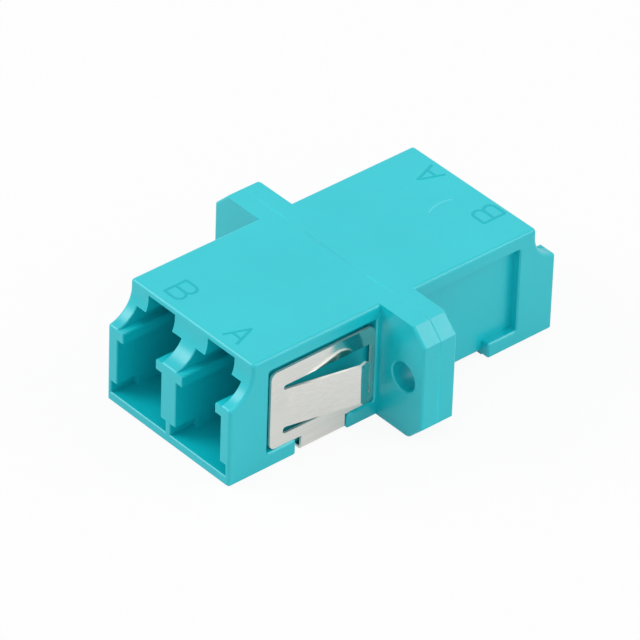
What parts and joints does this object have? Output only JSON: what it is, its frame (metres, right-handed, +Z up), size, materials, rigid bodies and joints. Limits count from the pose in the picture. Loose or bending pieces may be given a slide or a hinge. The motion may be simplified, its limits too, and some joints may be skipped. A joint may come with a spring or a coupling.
{
  "type": "fibre optic coupler",
  "caption": "Flanged duplex fibre coupler: a welded plastic body with paired plug ports at both ends, split sleeves inside and a sprung steel panel clip.",
  "frame": {"origin": "middle of the weld seam on the flat underside of the body", "axes": "+Z up, away from the underside; +Y along the plugs' way, from the clip end to the bare end; +X to the right seen from the clip end"},
  "size_m": [0.022, 0.0296, 0.0093],
  "materials": {
    "aqua_plastic": "aqua moulded plastic, satin",
    "clip_steel": "bright brushed stainless spring steel",
    "sleeve_ceramic": "polished white zirconia"
  },
  "bodies": {
    "root": {"front_housing": "aqua_plastic", "rear_housing": "aqua_plastic", "panel_clip": "clip_steel", "left_sleeve": "sleeve_ceramic", "right_sleeve": "sleeve_ceramic"}
  },
  "joints": []
}
